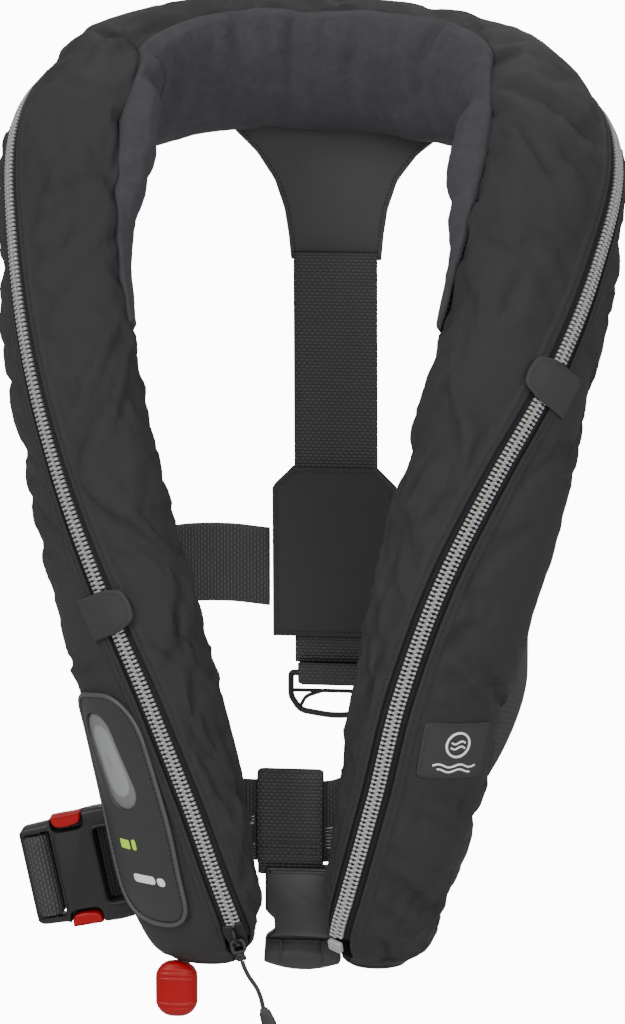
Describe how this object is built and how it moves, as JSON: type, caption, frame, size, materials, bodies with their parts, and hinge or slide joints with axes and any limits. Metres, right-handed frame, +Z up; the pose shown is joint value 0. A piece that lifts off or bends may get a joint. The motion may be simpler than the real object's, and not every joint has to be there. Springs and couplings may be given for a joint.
{
  "type": "inflatable life jacket",
  "caption": "Horseshoe-shaped waist-belted inflatable life jacket with a zipped fabric cover, fleece neck collar, side-release buckle and red firing handle.",
  "frame": {"origin": "centre of the neck opening, at the height of the shoulders", "axes": "+Z up, -Y to the front of the wearer, +X to the wearer's left"},
  "size_m": [0.3742, 0.2752, 0.5901],
  "materials": {
    "cover_nylon": "matt woven nylon twill",
    "fleece": "soft brushed fleece",
    "webbing": "woven polyester webbing",
    "zip_tape": "woven tape",
    "bladder_film": "coated nylon, satin",
    "hook_loop": "hook-and-loop",
    "window_panel": "smooth matt",
    "piping": "satin",
    "clear": "clear film",
    "zip_metal": "light silver-grey moulded teeth, satin",
    "dark_metal": "black painted",
    "pull_rubber": "moulded, satin",
    "cord": "braided cord",
    "black_plastic": "fine-grained acetal",
    "grey_plastic": "satin moulded",
    "red_plastic": "satin red moulded",
    "white_plastic": "moulded",
    "steel": "zinc plated",
    "pin_steel": "bright",
    "gasket": "matt",
    "signal_orange": "moulded"
  },
  "bodies": {
    "jacket": {"cover_outer_panel": "cover_nylon", "cover_inner_panel": "cover_nylon", "cover_hem_left": "cover_nylon", "cover_hem_right": "cover_nylon", "collar_fleece": "fleece", "bladder": "bladder_film", "zip_teeth_inner": "zip_metal", "zip_teeth_outer": "zip_metal", "zip_tape_inner": "zip_tape", "zip_tape_outer": "zip_tape", "zip_end_box": "grey_plastic", "zip_bottom_stop": "dark_metal", "hook_patch_right": "hook_loop", "hook_patch_left": "hook_loop", "window_panel": "window_panel", "window_lens": "clear", "window_piping": "piping", "emblem_patch": "window_panel", "back_yoke": "cover_nylon", "back_strap": "webbing", "back_patch_outer": "webbing", "back_patch_inner": "webbing", "strap_tail": "webbing", "belt_right": "webbing", "belt_left": "webbing", "belt_keeper_right": "webbing", "belt_keeper_left": "webbing", "tongue_loop": "webbing", "inflator_body": "white_plastic", "sensor_capsule": "grey_plastic", "status_indicator": "clear", "lever_pin": "pin_steel", "inflator_gasket": "gasket", "oral_tube": "gasket", "oral_valve": "black_plastic", "whistle": "signal_orange"},
    "slider": {"slider_body": "dark_metal"},
    "pull": {"pull_bail": "pull_rubber", "pull_cord": "cord", "pull_tip": "pull_rubber"},
    "tab_right": {"burst_tab_right": "cover_nylon"},
    "tab_left": {"burst_tab_left": "cover_nylon"},
    "handle": {"pull_toggle": "red_plastic", "toggle_lanyard": "webbing"},
    "lever": {"firing_lever": "red_plastic"},
    "bottle": {"co2_cylinder": "steel"},
    "buckle": {"belt_end": "webbing", "buckle_housing": "black_plastic"},
    "button_upper": {"release_button_upper": "red_plastic"},
    "button_lower": {"release_button_lower": "red_plastic"},
    "tongue": {"buckle_tongue": "black_plastic"},
    "ring": {"strap_ring": "black_plastic"},
    "cap": {"oral_cap": "black_plastic"}
  },
  "joints": [
    {"name": "zip_slide", "type": "slide", "parent": "jacket", "child": "slider", "axis": [-0.3008, -0.2317, 0.9251], "range_m": [0, 0.028]},
    {"name": "pull_swing", "type": "hinge", "parent": "slider", "child": "pull", "pos_m": [-0.02948, -0.14608, -0.45819], "axis": [0.9536, -0.0874, 0.2881], "range_deg": [-100, 20]},
    {"name": "burst_tab_right_lift", "type": "hinge", "parent": "jacket", "child": "tab_right", "pos_m": [-0.12008, -0.13966, -0.26989], "axis": [0.4058, -0.1412, -0.903], "range_deg": [0, 100]},
    {"name": "burst_tab_left_lift", "type": "hinge", "parent": "jacket", "child": "tab_left", "pos_m": [0.16398, -0.10223, -0.13912], "axis": [0.4021, 0.4668, 0.7877], "range_deg": [0, 100]},
    {"name": "handle_pull", "type": "slide", "parent": "jacket", "child": "handle", "axis": [0, 0, -1], "range_m": [0, 0.035]},
    {"name": "lever_turn", "type": "hinge", "parent": "jacket", "child": "lever", "pos_m": [-0.06644, -0.12303, -0.37338], "axis": [0.8334, -0.5367, 0.1321], "range_deg": [0, 122]},
    {"name": "bottle_spin", "type": "hinge", "parent": "jacket", "child": "bottle", "pos_m": [-0.08837, -0.11767, -0.32225], "axis": [-0.1936, -0.0595, 0.9793], "continuous": true},
    {"name": "buckle_swing", "type": "hinge", "parent": "jacket", "child": "buckle", "pos_m": [-0.0739, -0.0728, -0.353], "axis": [0, 0, 1], "range_deg": [-60, 2]},
    {"name": "button_upper_press", "type": "slide", "parent": "buckle", "child": "button_upper", "axis": [0.2079, 0, -0.9781], "range_m": [0, 0.0024], "stiffness_N_per_m": 800, "springref_m": -0.0004},
    {"name": "button_lower_press", "type": "slide", "parent": "buckle", "child": "button_lower", "axis": [-0.2079, 0, 0.9781], "range_m": [0, 0.0024], "stiffness_N_per_m": 800, "springref_m": -0.0004},
    {"name": "tongue_swing", "type": "hinge", "parent": "jacket", "child": "tongue", "pos_m": [0.003, -0.0852, -0.4275], "axis": [1, 0, 0], "range_deg": [-12, 12]},
    {"name": "ring_swing", "type": "hinge", "parent": "jacket", "child": "ring", "pos_m": [0.0035, 0.112, -0.359], "axis": [1, 0, 0], "range_deg": [-60, 60]},
    {"name": "cap_slide", "type": "slide", "parent": "jacket", "child": "cap", "axis": [0.1613, -0.0585, 0.9852], "range_m": [0, 0.012]}
  ],
  "couplings": [
    {"joint": "lever_turn", "follows": "handle_pull", "rad_per_m": 60}
  ]
}
